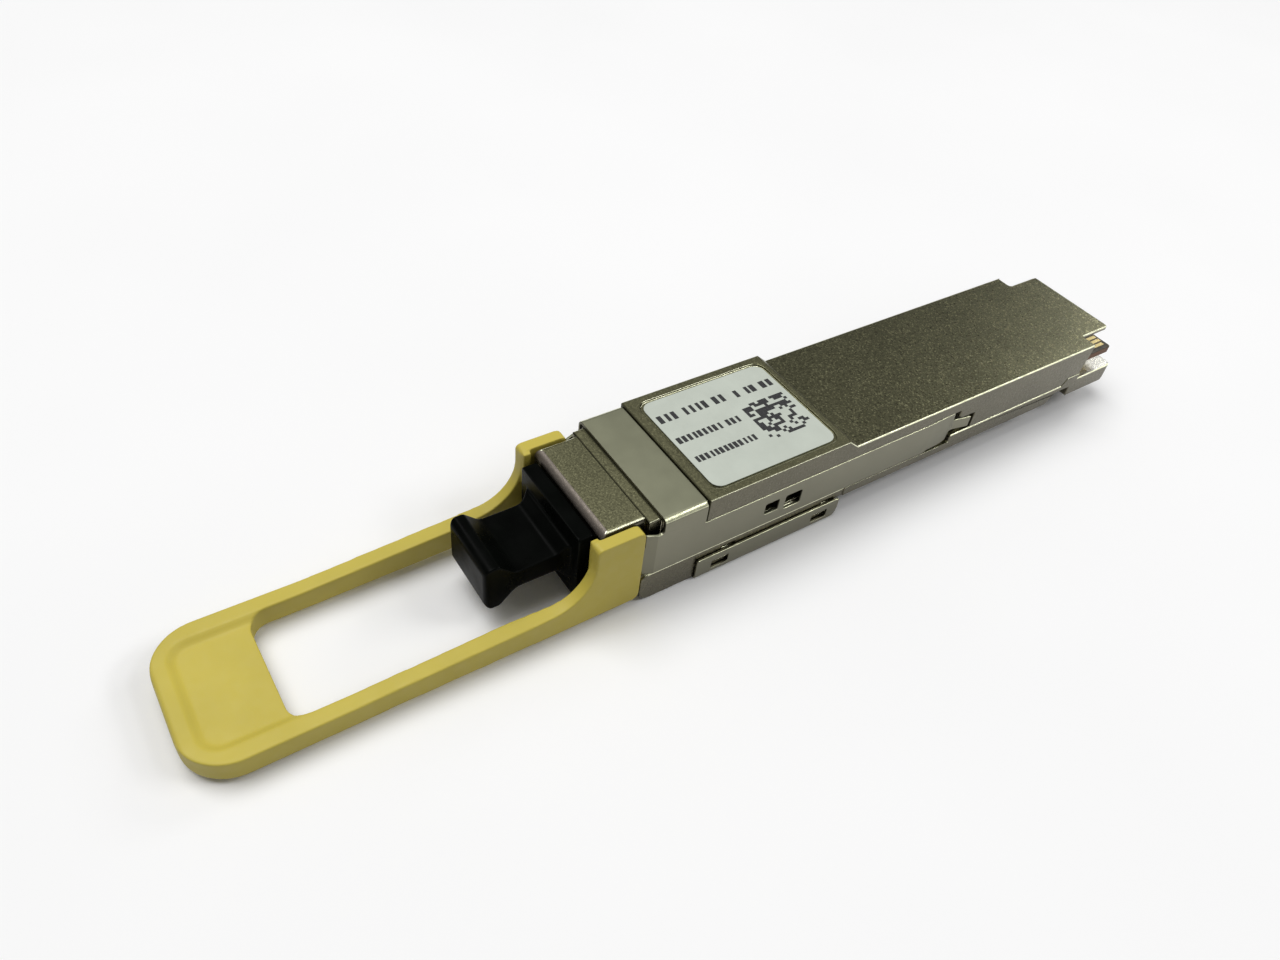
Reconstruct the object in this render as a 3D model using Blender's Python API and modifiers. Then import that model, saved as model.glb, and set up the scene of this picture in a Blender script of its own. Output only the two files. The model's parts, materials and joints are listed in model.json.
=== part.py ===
"""Pluggable optical transceiver module with a multi-fibre port, a pull-tab latch and a dust plug.

Frame: metres, +X right, +Y towards the card edge at the rear, +Z up. The origin is at the centre
of the bounding box, on the underside. Sizes below are in millimetres. A station is a distance
forward from the rear end of the module, so it runs towards -Y.
"""
import math

import bmesh
import bpy
from mathutils import Matrix, Vector

MM = 0.001
WELD_DISTANCE = 0.000002
GAP = 0.1

# Overall
OVERALL_LENGTH = 131.0
BODY_HALF = 9.175
REAR_Y = OVERALL_LENGTH / 2

# Heights above the underside
FRONT_FLOOR_Z = 0.1
CLIP_SEAT_Z = 0.4
CAGE_FLOOR_Z = 3.0
ARM_LOW_Z = 4.45
PARTING_Z = 5.6
PORT_Z = 6.6
BOARD_LOW_Z = 7.6
BOARD_TOP_Z = 8.6
ARM_HIGH_Z = 9.5
CAGE_TOP_Z = 11.5
NOSE_TOP_Z = 12.1
BAND_TOP_Z = 12.55
PLATEAU_TOP_Z = 12.8

# Stations along the module
BOARD_REAR = 0.8
ROOF_TONGUE_REAR = 1.6
WALL_REAR = 7.4
HOOK_REAR = 31.3
PLATE_REAR = 34.5
PLATE_BEND = 38.3
CLIP_REAR = 53.1
PLATEAU_REAR = 53.9
SPRING_TAB = 62.75
SPRING_FRONT = 68.9
BAND_REAR = 74.7
CLIP_FRONT = 75.0
BAND_FRONT = 80.4
NECK_FRONT = 81.8
ARM_JOG = 81.2
CHIN_FRONT = 82.6
TAB_REAR = 82.8
NOSE_FRONT = 87.2
TAB_LIP = 88.75
LOOP_WINDOW = 121.0
LOOP_FRONT = OVERALL_LENGTH

# Walls and sheet
SHEET = 0.35
CORE_HALF = 8.7
POCKET_HALF = 8.4
NECK_HALF = 8.15
NOSE_HALF = 7.4
TONGUE_HALF = 6.85
CAVITY_HALF = 7.9
ENGINE_HALF = 6.3
PORT_HALF = 6.2
PORT_HALF_HEIGHT = 3.8
CAGE_ROOF_Z = 10.35
ENGINE_ROOF_Z = 11.5
ENGINE_FLOOR_Z = 1.6

# Pull tab
TAB_HALF = 9.2
LOOP_HALF = 8.95
TAB_LOW_Z = 1.15
LOOP_LOW_Z = 0.85
TAB_TOP_Z = 12.1
RAIL_REAR_Z = 4.7
RAIL_FRONT_Z = 3.55
PLATE_INNER = 7.7
RAIL_INNER = 7.1

# Optical train
FERRULE_REAR = 68.5
FERRULE_FRONT = 76.5
PIN_SPACING = 4.6
PIN_RADIUS = 0.35
RIBBON_HALF = 1.6
RIBBON_THICKNESS = 0.3
LENS_REAR = 54.9
LENS_FRONT = 59.5

# Shell screws
SCREW_X = 6.4
SCREW_STATION = 46.0

AXES = {
    "plan": ("X", "Y", "Z"),
    "side": ("Y", "Z", "X"),
    "front": ("Z", "X", "Y"),
}


# ---------------------------------------------------------------------------------- helpers

def clear_scene():
    for existing in list(bpy.data.objects):
        bpy.data.objects.remove(existing, do_unlink=True)


def new_collection(name):
    collection = bpy.data.collections.new(name)
    bpy.context.scene.collection.children.link(collection)
    return collection


def along(station):
    """World Y, in millimetres, of a station measured forward from the rear end."""
    return REAR_Y - station


def axis_vector(letter):
    return Vector([float(letter == name) for name in "XYZ"])


def rounded(corners, segments=4):
    """Outline points from corners (u, v) or (u, v, radius)."""
    points = []
    count = len(corners)
    for index, corner in enumerate(corners):
        centre = Vector(corner[:2])
        radius = corner[2] if len(corner) > 2 else 0.0
        if radius == 0.0:
            points.append(centre)
            continue
        back = (Vector(corners[index - 1][:2]) - centre).normalized()
        ahead = (Vector(corners[(index + 1) % count][:2]) - centre).normalized()
        half_angle = back.angle(ahead) / 2
        pivot = centre + (back + ahead).normalized() * radius / math.sin(half_angle)
        start = centre + back * radius / math.tan(half_angle) - pivot
        sweep = start.angle_signed(centre + ahead * radius / math.tan(half_angle) - pivot)
        for step in range(segments + 1):
            turn = Matrix.Rotation(-sweep * step / segments, 2)
            points.append(pivot + turn @ start)
    return points


def add_mesh_object(name, mesh, matrix, collection):
    piece = bpy.data.objects.new(name, mesh)
    piece.matrix_world = matrix
    collection.objects.link(piece)
    return piece


def mesh_from_curve(name, curve, matrix, collection):
    """Turns a curve into a closed mesh object and drops the curve."""
    source = bpy.data.objects.new(name + "_curve", curve)
    bpy.context.scene.collection.objects.link(source)
    graph = bpy.context.evaluated_depsgraph_get()
    mesh = bpy.data.meshes.new_from_object(source.evaluated_get(graph))
    mesh.name = name
    bpy.data.objects.remove(source, do_unlink=True)
    cage = bmesh.new()
    cage.from_mesh(mesh)
    bmesh.ops.remove_doubles(cage, verts=cage.verts, dist=WELD_DISTANCE)
    bmesh.ops.recalc_face_normals(cage, faces=cage.faces)
    cage.to_mesh(mesh)
    cage.free()
    return add_mesh_object(name, mesh, matrix, collection)


def prism(name, plane, corners, low, high, collection, segments=4):
    """A flat outline made solid from low to high across the plane it is drawn in.

    plan outlines hold (x, station), side outlines (station, z) and front outlines (x, z).
    low and high are heights, X positions or stations.
    """
    points = rounded(corners, segments)
    if plane == "plan":
        points = [(x, along(station)) for x, station in points]
    elif plane == "side":
        points = [(along(station), z) for station, z in points]
    else:
        points = [(z, x) for x, z in points]
        low, high = along(high), along(low)
    curve = bpy.data.curves.new(name, "CURVE")
    curve.dimensions = "2D"
    curve.fill_mode = "BOTH"
    curve.extrude = (high - low) / 2 * MM
    spline = curve.splines.new("POLY")
    spline.points.add(len(points) - 1)
    for target, (u, v) in zip(spline.points, points):
        target.co = (u * MM, v * MM, 0.0, 1.0)
    spline.use_cyclic_u = True
    u_axis, v_axis, depth_axis = (axis_vector(letter) for letter in AXES[plane])
    matrix = Matrix((u_axis, v_axis, depth_axis)).transposed().to_4x4()
    matrix.translation = depth_axis * (low + high) / 2 * MM
    return mesh_from_curve(name, curve, matrix, collection)


def block(name, x_range, stations, z_range, collection):
    """A box between two X positions, two stations and two heights."""
    y_range = (along(stations[1]), along(stations[0]))
    spans = [high - low for low, high in (x_range, y_range, z_range)]
    centre = [(low + high) / 2 for low, high in (x_range, y_range, z_range)]
    cage = bmesh.new()
    bmesh.ops.create_cube(cage, size=1.0, matrix=Matrix.Diagonal([*spans, 1.0]))
    bmesh.ops.scale(cage, vec=(MM, MM, MM), verts=cage.verts)
    mesh = bpy.data.meshes.new(name)
    cage.to_mesh(mesh)
    cage.free()
    return add_mesh_object(name, mesh, Matrix.Translation(Vector(centre) * MM), collection)


def round_bar(name, radius, x, z_or_station, span, axis, collection, tip_radius=None, segments=16):
    """A cylinder or cone along Z (at a station) or along the module (at a height)."""
    cage = bmesh.new()
    bmesh.ops.create_cone(
        cage,
        cap_ends=True,
        segments=segments,
        radius1=radius * MM,
        radius2=(radius if tip_radius is None else tip_radius) * MM,
        depth=(span[1] - span[0]) * MM,
    )
    mesh = bpy.data.meshes.new(name)
    cage.to_mesh(mesh)
    cage.free()
    middle = (span[0] + span[1]) / 2
    if axis == "Z":
        matrix = Matrix.Translation(Vector((x, along(z_or_station), middle)) * MM)
    else:
        matrix = Matrix.Translation(Vector((x, along(middle), z_or_station)) * MM)
        matrix = matrix @ Matrix.Rotation(math.radians(90), 4, "X")
    return add_mesh_object(name, mesh, matrix, collection)


def combine(piece, tool, operation):
    """Joins, cuts or intersects a piece with a tool, which stays hidden."""
    tool.hide_render = True
    tool.display_type = "WIRE"
    modifier = piece.modifiers.new(operation.lower() + "_" + tool.name, "BOOLEAN")
    modifier.operation = operation
    modifier.object = tool
    modifier.solver = "EXACT"


def add_bevel(piece, width, segments=1, angle=40.0):
    modifier = piece.modifiers.new("edge_rounding", "BEVEL")
    modifier.width = width * MM
    modifier.segments = segments
    modifier.limit_method = "ANGLE"
    modifier.angle_limit = math.radians(angle)


def mirrored(corners):
    """Closes a plan or front outline by repeating its right side on the left."""
    left = [(-corner[0], *corner[1:]) for corner in reversed(corners)]
    return corners + left


def rectangle(half_width, low, high, radius=0.0):
    return mirrored([(half_width, low, radius), (half_width, high, radius)])


def make_material(name, colour, roughness, metallic):
    material = bpy.data.materials.new(name)
    material.use_nodes = True
    shader = material.node_tree.nodes["Principled BSDF"]
    shader.inputs["Base Color"].default_value = (*colour, 1.0)
    shader.inputs["Roughness"].default_value = roughness
    shader.inputs["Metallic"].default_value = metallic
    return material


def finish(piece, parent, colour, roughness, metallic, bevel=0.0):
    """Gives a piece its own material and its parent, keeping its place."""
    if bevel:
        add_bevel(piece, bevel)
    piece.data.materials.clear()
    piece.data.materials.append(make_material(piece.name + "_finish", colour, roughness, metallic))
    piece.parent = parent
    piece.matrix_parent_inverse = parent.matrix_world.inverted()
    return piece


def add_empty(name, location, parent=None):
    empty = bpy.data.objects.new(name, None)
    empty.location = Vector(location) * MM
    parts.objects.link(empty)
    empty.parent = parent
    return empty


# ---------------------------------------------------------------------------------- colours

NICKEL = ((0.42, 0.41, 0.34), 0.45, 0.9)
STAMPED = ((0.46, 0.46, 0.40), 0.35, 0.9)
SPRING_STEEL = ((0.55, 0.55, 0.54), 0.3, 1.0)
YELLOW_TAB = ((0.60, 0.50, 0.13), 0.6, 0.0)
BLACK_PLUG = ((0.02, 0.02, 0.022), 0.35, 0.0)
LABEL_PAPER = ((0.50, 0.54, 0.48), 0.7, 0.0)
BOARD_LAMINATE = ((0.10, 0.05, 0.03), 0.5, 0.0)
CHIP_EPOXY = ((0.03, 0.03, 0.035), 0.5, 0.0)
BARE_SILICON = ((0.20, 0.21, 0.25), 0.2, 0.4)
CLEAR_RESIN = ((0.60, 0.55, 0.35), 0.15, 0.0)
RIBBON_COATING = ((0.15, 0.55, 0.60), 0.4, 0.0)
FERRULE_RESIN = ((0.06, 0.06, 0.07), 0.4, 0.0)
FRAME_RESIN = ((0.04, 0.04, 0.045), 0.5, 0.0)
GASKET_RUBBER = ((0.12, 0.12, 0.12), 0.8, 0.0)
THERMAL_GEL = ((0.45, 0.50, 0.60), 0.7, 0.0)
FERRITE = ((0.12, 0.12, 0.13), 0.6, 0.0)
CERAMIC_BODY = ((0.45, 0.33, 0.22), 0.5, 0.0)


# ------------------------------------------------------------------------------- die castings

def cut_arm_recess(shell):
    """The side channels that the latch arms lie in, and the deeper pockets at their hooked ends."""
    low_z = ARM_LOW_Z - GAP
    high_z = ARM_HIGH_Z + GAP
    channel = [
        (NOSE_FRONT + 1, 3.0),
        (CHIN_FRONT + 0.02, 3.0),
        (CHIN_FRONT + 0.02, low_z, 1.0),
        (PLATE_BEND, low_z),
        (PLATE_BEND, high_z),
        (NOSE_FRONT + 1, high_z),
    ]
    pocket = [
        (PLATE_BEND + 0.1, low_z),
        (34.0, low_z),
        (34.0, PARTING_Z),
        (HOOK_REAR - 0.8, PARTING_Z),
        (HOOK_REAR - 0.8, 8.3),
        (33.7, 8.3, 0.6),
        (33.7, high_z + 0.2),
        (PLATE_BEND + 0.1, high_z + 0.2),
    ]
    for side in (-1, 1):
        for name, outline, floor in (("channel", channel, CORE_HALF), ("pocket", pocket, POCKET_HALF)):
            low, high = sorted((side * floor, side * (BODY_HALF + 1)))
            recess_name = f"{shell.name}_arm_{name}_{side}"
            combine(shell, prism(recess_name, "side", outline, low, high, cutters), "DIFFERENCE")


def cut_blocks(shell, rooms, z_range):
    """Cuts rooms given as (name, half width, rear station, front station, height limit)."""
    for name, half, rear, front, limit in rooms:
        heights = (limit, z_range[1]) if z_range[0] is None else (z_range[0], limit)
        room = block(f"{shell.name}_{name}", (-half, half), (rear, front), heights, cutters)
        combine(shell, room, "DIFFERENCE")


def make_upper_shell(parent):
    seam = PARTING_Z + GAP / 2
    profile = [
        (ROOF_TONGUE_REAR - 1, 10.9),
        (ROOF_TONGUE_REAR - 1, CAGE_TOP_Z),
        (PLATEAU_REAR - 1.5, CAGE_TOP_Z),
        (PLATEAU_REAR, PLATEAU_TOP_Z),
        (BAND_REAR - GAP, PLATEAU_TOP_Z),
        (BAND_REAR - GAP, seam),
        (11.4, seam),
        (10.5, 6.75),
        (WALL_REAR + 0.7, 6.75),
        (WALL_REAR, 10.9),
    ]
    shell = prism("upper_shell", "side", profile, -BODY_HALF - 1, BODY_HALF + 1, parts)
    outline = mirrored([
        (TONGUE_HALF, ROOF_TONGUE_REAR, 0.5),
        (TONGUE_HALF, WALL_REAR - 0.1, 0.4),
        (BODY_HALF, WALL_REAR - 0.1, 0.25),
        (BODY_HALF, BAND_FRONT),
    ])
    plan = prism("upper_shell_plan", "plan", outline, PARTING_Z - 1, PLATEAU_TOP_Z + 1, cutters)
    combine(shell, plan, "INTERSECT")
    nose_profile = [
        (NECK_FRONT - 0.4, seam),
        (NECK_FRONT - 0.4, NOSE_TOP_Z - 0.15),
        (NECK_FRONT, NOSE_TOP_Z - 0.15),
        (NECK_FRONT, NOSE_TOP_Z + 0.02),
        (NOSE_FRONT, NOSE_TOP_Z + 0.02, 0.9),
        (NOSE_FRONT, seam),
    ]
    nose = prism("upper_nose", "side", nose_profile, -BODY_HALF, BODY_HALF, cutters)
    front_core = rectangle(NOSE_HALF, PARTING_Z - 1, NOSE_TOP_Z, 0.6)
    combine(nose, prism("nose_section", "front", front_core, 70.0, NOSE_FRONT + 1, cutters), "INTERSECT")
    neck_outline = rectangle(NECK_HALF, seam, NOSE_TOP_Z - 0.1)
    neck = prism("upper_neck", "front", neck_outline, 74.0, NECK_FRONT, cutters)
    core_outline = rectangle(CORE_HALF - 0.05, seam, NOSE_TOP_Z - 0.05)
    core = prism("band_core", "front", core_outline, 73.5, BAND_FRONT, cutters)
    for segment in (nose, neck, core):
        combine(shell, segment, "UNION")
    cut_arm_recess(shell)
    rooms = [
        ("card_mouth", 8.4, ROOF_TONGUE_REAR - 1, 14.0, 9.6),
        ("card_room", CAVITY_HALF, WALL_REAR - 1, PLATEAU_REAR + 0.6, CAGE_ROOF_Z),
        ("engine_room", CAVITY_HALF, PLATEAU_REAR + 0.4, 57.0, ENGINE_ROOF_Z),
        ("ribbon_room", ENGINE_HALF, 57.0 - GAP, 69.8, ENGINE_ROOF_Z),
        ("frame_seat", 7.1, 69.5, 73.0, 10.9),
        ("port", PORT_HALF, 73.0 - GAP, NOSE_FRONT + 1, PORT_Z + PORT_HALF_HEIGHT),
    ]
    cut_blocks(shell, rooms, (PARTING_Z - 1, None))
    for side in (-1, 1):
        x_range = sorted((side * 6.95, side * (CORE_HALF + 0.2)))
        pocket = block(f"spring_pocket_{side}", x_range, (57.9, SPRING_FRONT + 0.1), (6.1, 8.0), cutters)
        combine(shell, pocket, "DIFFERENCE")
        heights = (7.0, CAGE_ROOF_Z + 0.3)
        boss = round_bar(f"upper_boss_{side}", 1.35, side * SCREW_X, SCREW_STATION, heights, "Z", cutters)
        combine(shell, boss, "UNION")
        pilot = round_bar(
            f"pilot_hole_{side}", 0.65, side * SCREW_X, SCREW_STATION, (6.0, 9.4), "Z", cutters
        )
        combine(shell, pilot, "DIFFERENCE")
        for station in (20.0, 38.0):
            x_range = sorted((side * 7.0, side * (CAVITY_HALF + 0.2)))
            heights = (BOARD_TOP_Z + GAP, CAGE_ROOF_Z + 0.3)
            pad = block(
                f"board_stop_{side}_{station:.0f}", x_range, (station - 1, station + 1), heights, cutters
            )
            combine(shell, pad, "UNION")
    recess_outline = rectangle(8.15, 54.6, 73.3, 1.6)
    recess = prism("label_recess", "plan", recess_outline, PLATEAU_TOP_Z - 0.25, 14.0, cutters)
    combine(shell, recess, "DIFFERENCE")
    return finish(shell, parent, *NICKEL)


def make_lower_shell(parent):
    seam = PARTING_Z - GAP / 2
    profile = [
        (-1.0, 5.8),
        (WALL_REAR + 0.3, 5.8),
        (WALL_REAR + 0.3, 6.65),
        (10.4, 6.65),
        (11.3, seam),
        (CHIN_FRONT, seam),
        (CHIN_FRONT, FRONT_FLOOR_Z, 1.4),
        (CLIP_FRONT + GAP, FRONT_FLOOR_Z),
        (CLIP_FRONT + GAP, CLIP_SEAT_Z),
        (PLATEAU_REAR, CLIP_SEAT_Z, 0.8),
        (PLATEAU_REAR - 0.4, CAGE_FLOOR_Z),
        (13.4, CAGE_FLOOR_Z, 0.6),
        (12.2, 4.6, 0.4),
        (9.1, 4.6),
        (9.1, CAGE_FLOOR_Z, 0.3),
        (1.0, CAGE_FLOOR_Z),
        (0.2, CAGE_FLOOR_Z + 0.9),
        (-1.0, CAGE_FLOOR_Z + 1.2),
    ]
    shell = prism("lower_shell", "side", profile, -BODY_HALF - 1, BODY_HALF + 1, parts)
    outline = rectangle(BODY_HALF, 0.0, NOSE_FRONT, 1.0)
    plan = prism("lower_shell_plan", "plan", outline, -1.0, 8.0, cutters)
    combine(shell, plan, "INTERSECT")
    nose_outline = rectangle(NOSE_HALF, 0.7, seam)
    nose = prism("lower_nose", "front", nose_outline, CHIN_FRONT - 1, NOSE_FRONT, cutters)
    combine(shell, nose, "UNION")
    cut_arm_recess(shell)
    for side in (-1, 1):
        x_range = sorted((side * 9.05, side * (BODY_HALF + 1)))
        stations = (PLATEAU_REAR - 1.5, CHIN_FRONT + 1)
        flank = block(f"front_flank_{side}", x_range, stations, (-1.0, ARM_LOW_Z), cutters)
        combine(shell, flank, "DIFFERENCE")
        x_range = sorted((side * NECK_HALF, side * (BODY_HALF + 1)))
        stations = (BAND_FRONT + 0.5, CHIN_FRONT + 1)
        neck = block(f"chin_relief_{side}", x_range, stations, (ARM_LOW_Z - GAP, 7.0), cutters)
        combine(shell, neck, "DIFFERENCE")
        for station in (54.9, 70.3):
            wedge_outline = [(side * 8.9, 1.1), (side * 9.35, 1.95), (side * 8.9, 1.95)]
            name = f"snap_wedge_{side}_{station:.0f}"
            wedge = prism(name, "front", wedge_outline, station + 0.2, station + 2.3, cutters)
            combine(shell, wedge, "UNION")
            x_range = sorted((side * 8.5, side * (BODY_HALF + 1)))
            name = f"snap_relief_{side}_{station:.0f}"
            slit = block(name, x_range, (station - 0.9, station + 0.9), (2.5, 3.5), cutters)
            combine(shell, slit, "DIFFERENCE")
    rooms = [
        ("card_mouth", 8.4, WALL_REAR - 0.5, 14.0, 5.9),
        ("card_room", CAVITY_HALF, 9.6, 57.0, CAGE_FLOOR_Z + 1.0),
        ("ribbon_room", ENGINE_HALF, 57.0 - GAP, 69.8, ENGINE_FLOOR_Z),
        ("frame_seat", 7.1, 69.5, 73.0, 1.9),
        ("port", PORT_HALF, 73.0 - GAP, NOSE_FRONT + 1, PORT_Z - PORT_HALF_HEIGHT),
    ]
    cut_blocks(shell, rooms, (None, PARTING_Z + 2))
    for side in (-1, 1):
        heights = (CAGE_FLOOR_Z + 0.5, 6.9)
        boss = round_bar(f"lower_boss_{side}", 1.35, side * SCREW_X, SCREW_STATION, heights, "Z", cutters)
        combine(shell, boss, "UNION")
        for station in (20.0, 38.0):
            x_range = sorted((side * 7.0, side * (CAVITY_HALF - GAP)))
            heights = (CAGE_FLOOR_Z + 0.5, BOARD_LOW_Z - GAP)
            post = block(
                f"board_post_{side}_{station:.0f}", x_range, (station - 1, station + 1), heights, cutters
            )
            combine(shell, post, "UNION")
    for side in (-1, 1):
        bore = round_bar(f"screw_bore_{side}", 0.7, side * SCREW_X, SCREW_STATION, (2.0, 8.0), "Z", cutters)
        combine(shell, bore, "DIFFERENCE")
        sink = round_bar(f"screw_sink_{side}", 1.25, side * SCREW_X, SCREW_STATION, (2.0, 3.8), "Z", cutters)
        combine(shell, sink, "DIFFERENCE")
    return finish(shell, parent, *NICKEL)


# ---------------------------------------------------------------------------------- sheet metal

def make_bottom_clip(parent):
    outer = 9.45
    height = 3.2
    thickness = 0.3
    outline = mirrored([
        (outer - thickness, thickness, 0.15),
        (outer - thickness, height),
        (outer, height),
        (outer, 0.0, 0.5),
    ])
    clip = prism("bottom_clip", "front", outline, CLIP_REAR, CLIP_FRONT, parts)
    side_profile = [
        (CLIP_REAR, height, 0.3),
        (CLIP_FRONT, height, 0.3),
        (CLIP_FRONT, -0.1),
        (CLIP_REAR, -0.1, 1.7),
    ]
    side_view = prism("clip_profile", "side", side_profile, -outer - 1, outer + 1, cutters)
    combine(clip, side_view, "INTERSECT")
    for index, station in enumerate((54.9, 70.3)):
        window = [
            (station, 0.9, 0.15),
            (station + 2.5, 0.9, 0.15),
            (station + 2.5, 2.15, 0.15),
            (station, 2.15, 0.15),
        ]
        for side in (-1, 1):
            low, high = sorted((side * 8.6, side * 10.0))
            cutter = prism(f"clip_window_{index}_{side}", "side", window, low, high, cutters, segments=2)
            combine(clip, cutter, "DIFFERENCE")
    return finish(clip, parent, *STAMPED)


def slider_plan():
    """Plan outline of the latch slider: two arms joined by the band."""
    arm_outer = [
        (9.32, HOOK_REAR),
        (9.0, PLATE_REAR - 0.6),
        (9.02, PLATE_REAR + 0.4),
        (BODY_HALF, PLATE_BEND),
        (BODY_HALF, ARM_JOG),
        (8.65, ARM_JOG + 1.3),
        (8.65, 86.6),
    ]
    arm_inner = [(x - SHEET, station) for x, station in arm_outer]
    rear_inner = [point for point in arm_inner if point[1] < BAND_REAR]
    front_inner = [point for point in arm_inner if point[1] > BAND_FRONT]
    band_inner = BODY_HALF - SHEET
    right = [(band_inner, BAND_REAR), *reversed(rear_inner), *arm_outer, *reversed(front_inner),
             (band_inner, BAND_FRONT)]
    return mirrored(right)


def make_latch_slider(parent):
    slider = prism("latch_slider", "plan", slider_plan(), ARM_LOW_Z - 1, BAND_TOP_Z + 0.5, parts)
    profile = [
        (HOOK_REAR, 6.3, 0.2),
        (PLATE_REAR + 0.1, 6.55, 0.2),
        (PLATE_REAR + 0.3, 5.1, 0.3),
        (PLATE_REAR + 1.1, 4.8, 0.3),
        (PLATE_BEND, 4.8),
        (PLATE_BEND + 0.4, ARM_LOW_Z),
        (TAB_REAR - 0.4, ARM_LOW_Z),
        (TAB_REAR - 0.4, 4.9),
        (86.8, 4.9),
        (86.8, 8.9),
        (TAB_REAR - 0.4, 8.9),
        (TAB_REAR - 0.4, 10.7),
        (BAND_FRONT, 10.6, 0.4),
        (BAND_FRONT, BAND_TOP_Z + 0.2),
        (BAND_REAR, BAND_TOP_Z + 0.2),
        (BAND_REAR, ARM_HIGH_Z),
        (PLATE_BEND + 0.6, ARM_HIGH_Z),
        (PLATE_BEND - 0.2, ARM_HIGH_Z + 0.05),
        (PLATE_REAR, ARM_HIGH_Z + 0.05, 0.3),
        (PLATE_REAR - 0.1, 8.2, 0.2),
        (HOOK_REAR, 8.0, 0.2),
    ]
    side_view = prism("slider_profile", "side", profile, -10.0, 10.0, cutters)
    combine(slider, side_view, "INTERSECT")
    section = mirrored([
        (10.0, 4.0),
        (10.0, 9.8),
        (BODY_HALF, 9.8),
        (BODY_HALF, BAND_TOP_Z, 0.75),
    ])
    front_view = prism("slider_section", "front", section, HOOK_REAR - 1, NOSE_FRONT, cutters)
    combine(slider, front_view, "INTERSECT")
    inside = mirrored([
        (BODY_HALF - SHEET, 4.0),
        (BODY_HALF - SHEET, BAND_TOP_Z - SHEET, 0.4),
    ])
    hollow = prism("slider_inside", "front", inside, BAND_REAR - 1, BAND_FRONT + 0.8, cutters)
    combine(slider, hollow, "DIFFERENCE")
    windows = {
        "front_window": (SPRING_TAB + 0.95, 65.75, 6.2, 7.95),
        "rear_window": (60.2, SPRING_TAB - 0.05, 5.75, 7.9),
    }
    for side in (-1, 1):
        for name, (rear, front, low_z, high_z) in windows.items():
            corners = ((rear, low_z), (front, low_z), (front, high_z), (rear, high_z))
            outline = [(*corner, 0.25) for corner in corners]
            low, high = sorted((side * 8.0, side * 10.0))
            cutter = prism(f"{name}_{side}", "side", outline, low, high, cutters, segments=2)
            combine(slider, cutter, "DIFFERENCE")
        x_range = sorted((side * 7.1, side * (BODY_HALF - SHEET / 2)))
        tab = block(f"spring_tab_{side}", x_range, (SPRING_TAB, SPRING_TAB + SHEET), (6.35, 7.75), cutters)
        combine(slider, tab, "UNION")
    return finish(slider, parent, *STAMPED)


def make_return_spring(name, side, parent):
    """A compression spring along the module, from the slider's inner tab to the shell."""
    wire_radius = 0.12
    coil_radius = 0.6
    turns = 6
    steps = 10
    rear = SPRING_TAB + SHEET + GAP + wire_radius
    front = SPRING_FRONT - GAP - wire_radius
    closed_pitch = 2 * wire_radius * 1.15
    curve = bpy.data.curves.new(name, "CURVE")
    curve.dimensions = "3D"
    curve.bevel_depth = wire_radius * MM
    curve.bevel_resolution = 2
    curve.use_fill_caps = True
    count = turns * steps
    spline = curve.splines.new("POLY")
    spline.points.add(count)
    open_length = front - rear - 2 * closed_pitch
    for index, point in enumerate(spline.points):
        turn = index / steps
        if turn < 1:
            reach = closed_pitch * turn
        elif turn > turns - 1:
            reach = closed_pitch + open_length + closed_pitch * (turn - turns + 1)
        else:
            reach = closed_pitch + open_length * (turn - 1) / (turns - 2)
        angle = 2 * math.pi * turn
        x = coil_radius * math.cos(angle)
        z = coil_radius * math.sin(angle)
        point.co = (x * MM, -reach * MM, z * MM, 1.0)
    place = Matrix.Translation(Vector((side * 7.8, along(rear), 7.05)) * MM)
    spring = mesh_from_curve(name, curve, place, parts)
    spring.data.shade_smooth()
    return finish(spring, parent, *SPRING_STEEL)


# ------------------------------------------------------------------------------ tab and plug

def make_pull_tab(parent):
    profile = [
        (TAB_REAR, TAB_LOW_Z, 0.8),
        (TAB_REAR, TAB_TOP_Z, 0.8),
        (TAB_LIP, TAB_TOP_Z, 0.6),
        (TAB_LIP, RAIL_REAR_Z, 5.4),
        (98.0, RAIL_REAR_Z - 0.5),
        (115.0, RAIL_FRONT_Z),
        (LOOP_FRONT, RAIL_FRONT_Z, 0.6),
        (LOOP_FRONT, LOOP_LOW_Z, 0.4),
        (115.0, LOOP_LOW_Z),
        (98.0, TAB_LOW_Z),
    ]
    tab = prism("pull_tab", "side", profile, -TAB_HALF - 1, TAB_HALF + 1, parts, segments=8)
    outline = mirrored([
        (RAIL_INNER - 0.1, LOOP_WINDOW, 2.0),
        (RAIL_INNER + 0.1, 98.0),
        (PLATE_INNER, 91.0),
        (PLATE_INNER, TAB_REAR - 1),
        (TAB_HALF, TAB_REAR - 1),
        (TAB_HALF, 96.0),
        (LOOP_HALF, 112.0),
        (LOOP_HALF, LOOP_FRONT, 5.2),
    ])
    plan = prism("tab_plan", "plan", outline, LOOP_LOW_Z - 1, TAB_TOP_Z + 1, cutters, segments=8)
    combine(tab, plan, "INTERSECT")
    recess_outline = mirrored([
        (6.75, LOOP_WINDOW - 3),
        (6.75, LOOP_FRONT - 2.0, 2.2),
    ])
    recess = prism("thumb_recess", "plan", recess_outline, RAIL_FRONT_Z - 0.4, 6.0, cutters)
    combine(tab, recess, "DIFFERENCE")
    for side in (-1, 1):
        x_range = sorted((side * 7.15, side * (PLATE_INNER + 0.5)))
        heights = (7.4, TAB_TOP_Z - 0.15)
        rib = block(f"lip_rib_{side}", x_range, (NOSE_FRONT + 0.5, TAB_LIP - 0.1), heights, cutters)
        combine(tab, rib, "UNION")
        x_range = sorted((side * 8.2, side * 8.75))
        slot = block(f"arm_slot_{side}", x_range, (TAB_REAR - 1, 86.8), (4.8, 9.0), cutters)
        combine(tab, slot, "DIFFERENCE")
    return finish(tab, parent, *YELLOW_TAB, bevel=0.3)


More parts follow.
